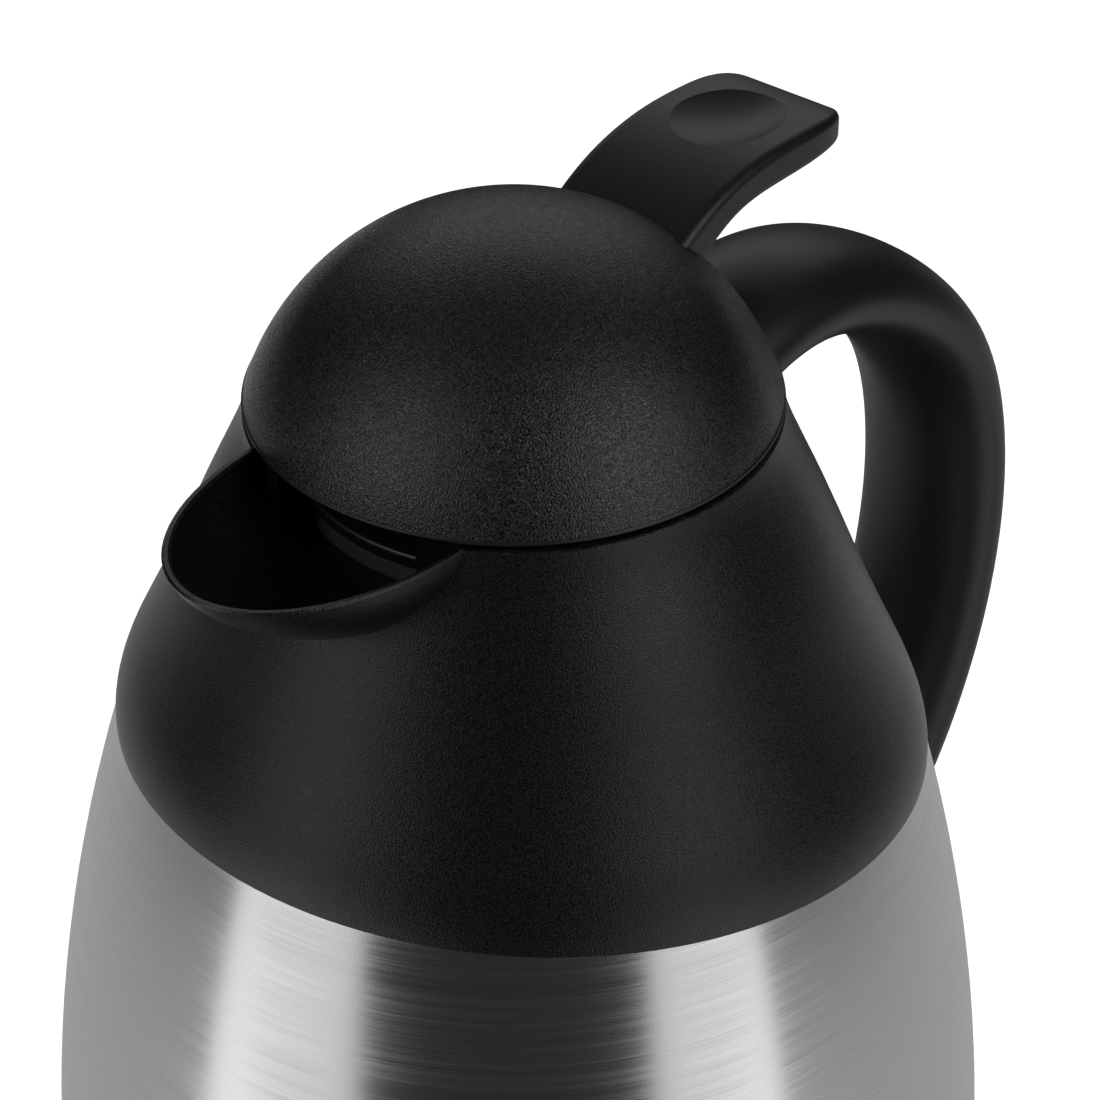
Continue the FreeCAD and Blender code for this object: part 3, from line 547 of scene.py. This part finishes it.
@dataclass
class Lid(SubAssembly):
    """Stopper, deck and dome, with the stopper's thread and the dome's rounded lip."""

    thread: Thread = Thread()
    thread_turns: int = 2
    thread_above_plug_mm: float = 1.4
    lip_wire_mm: float = 0.4
    lip_set_in_mm: float = 0.32
    lip_rise_mm: float = 0.43
    lip_root_mm: float = 0.5
    lip_split_mm: float = 0.1
    lip_sides: int = 16
    lip_steps: int = 180

    finishes: ClassVar[dict[str, Finish]] = {
        "lid_dome": SPARK_GRAIN,
        "stopper_body": PLAIN,
        "stopper_gasket": GREY_SILICONE,
        "lid_deck": PLAIN,
        "deck_screws": BRIGHT_STEEL,
        "lever_pin": BRIGHT_STEEL,
    }

    def build(self) -> list[bpy.types.Object]:
        """Models the stopper's thread and the dome's lip."""
        return [self.stopper_thread(), self.dome_lip()]

    def stopper_thread(self) -> bpy.types.Object:
        """Winds the low ridge on the stopper's plug.

        Returns:
            The thread.
        """
        plug_low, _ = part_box("stopper_body")
        low = plug_low.z / MM + self.thread_above_plug_mm
        ridge = self.thread.on_plug(low, self.thread_turns)
        return Lathe.settle(ridge, "stopper_thread", PLAIN, Body.LID, Slot.STOPPER)

    def dome_lip(self) -> bpy.types.Object:
        """Turns the rounded lip along the dome's lower edge.

        Returns:
            The lip.
        """
        dome_low, dome_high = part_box("lid_dome")
        middle = dome_high.x / MM - self.lip_set_in_mm
        height = dome_low.z / MM + self.lip_rise_mm
        roll = Lathe.section(self.lip_wire_mm, self.lip_sides, middle, height)
        Lathe.root(roll, middle - self.lip_split_mm, -self.lip_root_mm)
        Lathe.wind(roll, 0.0, 1, self.lip_steps)
        return Lathe.settle(roll, "dome_lip", SATIN, Body.LID, Slot.GRAINED)


@dataclass
class LeverAndValve(SubAssembly):
    """Thumb lever, stem and valve, with the wound spring that closes the valve."""

    spring_wire_mm: float = 0.55
    spring_turns: int = 6
    spring_sides: int = 12
    spring_steps: int = 32
    valve_travel_mm: float = 5.04

    finishes: ClassVar[dict[str, Finish]] = {
        "thumb_lever": SATIN,
        "valve_stem": PLAIN,
        "lift_pin": BRIGHT_STEEL,
        "valve_disc": PLAIN,
        "valve_seal": SILICONE,
    }

    def build(self) -> list[bpy.types.Object]:
        """Models the closing spring."""
        return [self.closing_spring()]

    def closing_spring(self) -> bpy.types.Object:
        """Winds the spring between valve and deck.

        Returns:
            The spring.
        """
        low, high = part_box("valve_spring")
        disc_top = low.z / MM
        start = disc_top + self.spring_wire_mm
        rise = high.z / MM - self.spring_wire_mm - start
        radius = high.x / MM - self.spring_wire_mm
        wire = Lathe.section(self.spring_wire_mm, self.spring_sides, radius, start)
        Lathe.wind(wire, rise / self.spring_turns, self.spring_turns, self.spring_steps)
        spring = Lathe.settle(wire, "closing_spring", BRIGHT_STEEL, Body.LID, Slot.HARDWARE)
        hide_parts("valve_spring")
        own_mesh(spring)
        return spring


@dataclass
class Camera:
    """The photograph's viewpoint: a long lens, turned 50 degrees and looking down 35 degrees."""

    turn_deg: float = 49.8
    pitch_deg: float = 34.975
    distance_mm: float = 508.0
    aside_mm: float = 5.163
    height_mm: float = 176.86
    lens_mm: float = 113.43
    sensor_mm: float = 36.0
    nearest_m: float = 0.01
    furthest_m: float = 60.0

    def build(self) -> bpy.types.Object:
        """Places the camera and makes it the scene's.

        Returns:
            The camera.
        """
        turn = math.radians(self.turn_deg)
        pitch = math.radians(self.pitch_deg)
        right = Vector((math.cos(turn), -math.sin(turn), 0))
        level = Vector((math.sin(turn), math.cos(turn), 0))
        ahead = level * math.cos(pitch) - Vector((0, 0, math.sin(pitch)))
        up = level * math.sin(pitch) + Vector((0, 0, math.cos(pitch)))
        place = Vector((0, 0, self.height_mm)) + right * self.aside_mm - ahead * self.distance_mm
        lens = bpy.data.cameras.new("photo_camera")
        lens.lens = self.lens_mm
        lens.sensor_width = self.sensor_mm
        lens.clip_start = self.nearest_m
        lens.clip_end = self.furthest_m
        camera = bpy.data.objects.new("photo_camera", lens)
        bpy.context.scene.collection.objects.link(camera)
        turned = Matrix((right, up, -ahead)).transposed().to_4x4()
        camera.matrix_world = Matrix.Translation(place * MM) @ turned
        bpy.context.scene.camera = camera
        return camera


@dataclass(frozen=True)
class Softbox:
    """A studio light: bearing from the camera's side, rise, distance, size and power."""

    name: str
    bearing_deg: float
    rise_deg: float
    distance_m: float
    width_m: float
    height_m: float
    power_w: float
    aim_m: float = 0.12

    def build(self, camera_turn_deg: float) -> bpy.types.Object:
        """Hangs the light, facing the jug's middle.

        Args:
            camera_turn_deg: Turn of the camera about the jug.

        Returns:
            The light.
        """
        light = bpy.data.lights.new(self.name, "AREA")
        light.shape = "RECTANGLE"
        light.size = self.width_m
        light.size_y = self.height_m
        light.energy = self.power_w
        turn = math.radians(camera_turn_deg + self.bearing_deg)
        rise = math.radians(self.rise_deg)
        level = Vector((-math.sin(turn), -math.cos(turn), 0))
        out = level * math.cos(rise) + Vector((0, 0, math.sin(rise)))
        lamp = bpy.data.objects.new(self.name, light)
        bpy.context.scene.collection.objects.link(lamp)
        lamp.location = Vector((0, 0, self.aim_m)) + out * self.distance_m
        lamp.rotation_euler = out.to_track_quat("Z", "Y").to_euler()
        lamp.visible_camera = False
        return lamp


@dataclass
class Studio:
    """A pale glowing floor, soft boxes round the jug and a surround that is white to the camera."""

    floor_m: float = 40.0
    floor_colour: str = "#f2f2f1"
    floor_roughness: float = 0.9
    floor_glow: float = 0.92
    surround_colour: str = "#ffffff"
    surround_strength: float = 0.03

    # The low boxes make the steel's upright bands, the high ones the two soft lights on the dome.
    # Each row gives bearing, rise, distance, width, height and power, in degrees, metres and watts.
    boxes: ClassVar[tuple[Softbox, ...]] = (
        Softbox("left_box", 55.0, -22.0, 1.2, 0.8, 1.4, 3.2),
        Softbox("right_box", -47.0, -22.0, 1.2, 0.65, 1.4, 2.6),
        Softbox("back_left_box", 118.0, -36.0, 1.5, 3.6, 1.1, 5.7),
        Softbox("back_right_box", -110.0, -36.0, 1.5, 3.6, 1.1, 5.7),
        Softbox("high_left_box", 57.0, 31.0, 1.1, 0.5, 0.5, 2.2),
        Softbox("high_right_box", -55.0, 33.0, 1.1, 0.5, 0.5, 2.9),
        Softbox("top_box", 180.0, 75.0, 1.6, 2.6, 2.6, 2.0),
        Softbox("back_box", 180.0, 28.0, 1.5, 1.5, 0.6, 2.8),
    )

    def build(self, camera: Camera) -> None:
        """Lays the floor, hangs the lights and sets the surround.

        Args:
            camera: The viewpoint that the lights are set out from.
        """
        self.lay_floor()
        for box in self.boxes:
            box.build(camera.turn_deg)
            LOG.info("hung %s", box.name)
        self.set_surround()

    def lay_floor(self) -> None:
        """Lays a floor that neither shades the jug from the low boxes nor mirrors in it."""
        bpy.ops.object.select_all(action="DESELECT")
        bpy.ops.mesh.primitive_plane_add(size=self.floor_m)
        floor = bpy.context.view_layer.objects.active
        floor.name = "studio_floor"
        # Matt white paint: even and without a highlight.
        paint = bpy.data.materials.new("matt_white_paint")
        paint.use_nodes = True
        paint.node_tree.nodes.clear()
        shader = put(paint.node_tree, "ShaderNodeBsdfPrincipled", {
            "Base Color": linear(self.floor_colour), "Roughness": self.floor_roughness,
            "Emission Color": linear(self.surround_colour), "Emission Strength": self.floor_glow,
        })
        put(paint.node_tree, "ShaderNodeOutputMaterial", {"Surface": shader.outputs["BSDF"]})
        floor.data.materials.append(paint)
        floor.visible_glossy = False
        floor.visible_shadow = False
        floor.visible_diffuse = False

    def set_surround(self) -> None:
        """Sets a surround that is white to the camera and almost dark to the jug."""
        world = bpy.data.worlds.new("studio_surround")
        world.use_nodes = True
        tree = world.node_tree
        tree.nodes.clear()
        seen = put(tree, "ShaderNodeLightPath").outputs["Is Camera Ray"]
        strength = put(tree, "ShaderNodeMath", {0: seen, 1: self.surround_strength}, operation="MAXIMUM")
        glow = put(tree, "ShaderNodeBackground", {
            "Color": linear(self.surround_colour), "Strength": strength.outputs[0],
        })
        put(tree, "ShaderNodeOutputWorld", {"Surface": glow.outputs["Background"]})
        bpy.context.scene.world = world
        bpy.context.scene.view_settings.view_transform = "Standard"


def main() -> None:
    """Dresses the jug, models its small pieces and sets up the studio."""
    logging.basicConfig(level=logging.INFO, format="%(name)s: %(message)s")
    for part in (JugBody(), Lid(), LeverAndValve()):
        part.dress()
        for piece in part.build():
            LOG.info("built %s with %d faces", piece.name, len(piece.data.polygons))
    camera = Camera()
    camera.build()
    Studio().build(camera)


if __name__ == "__main__":
    main()
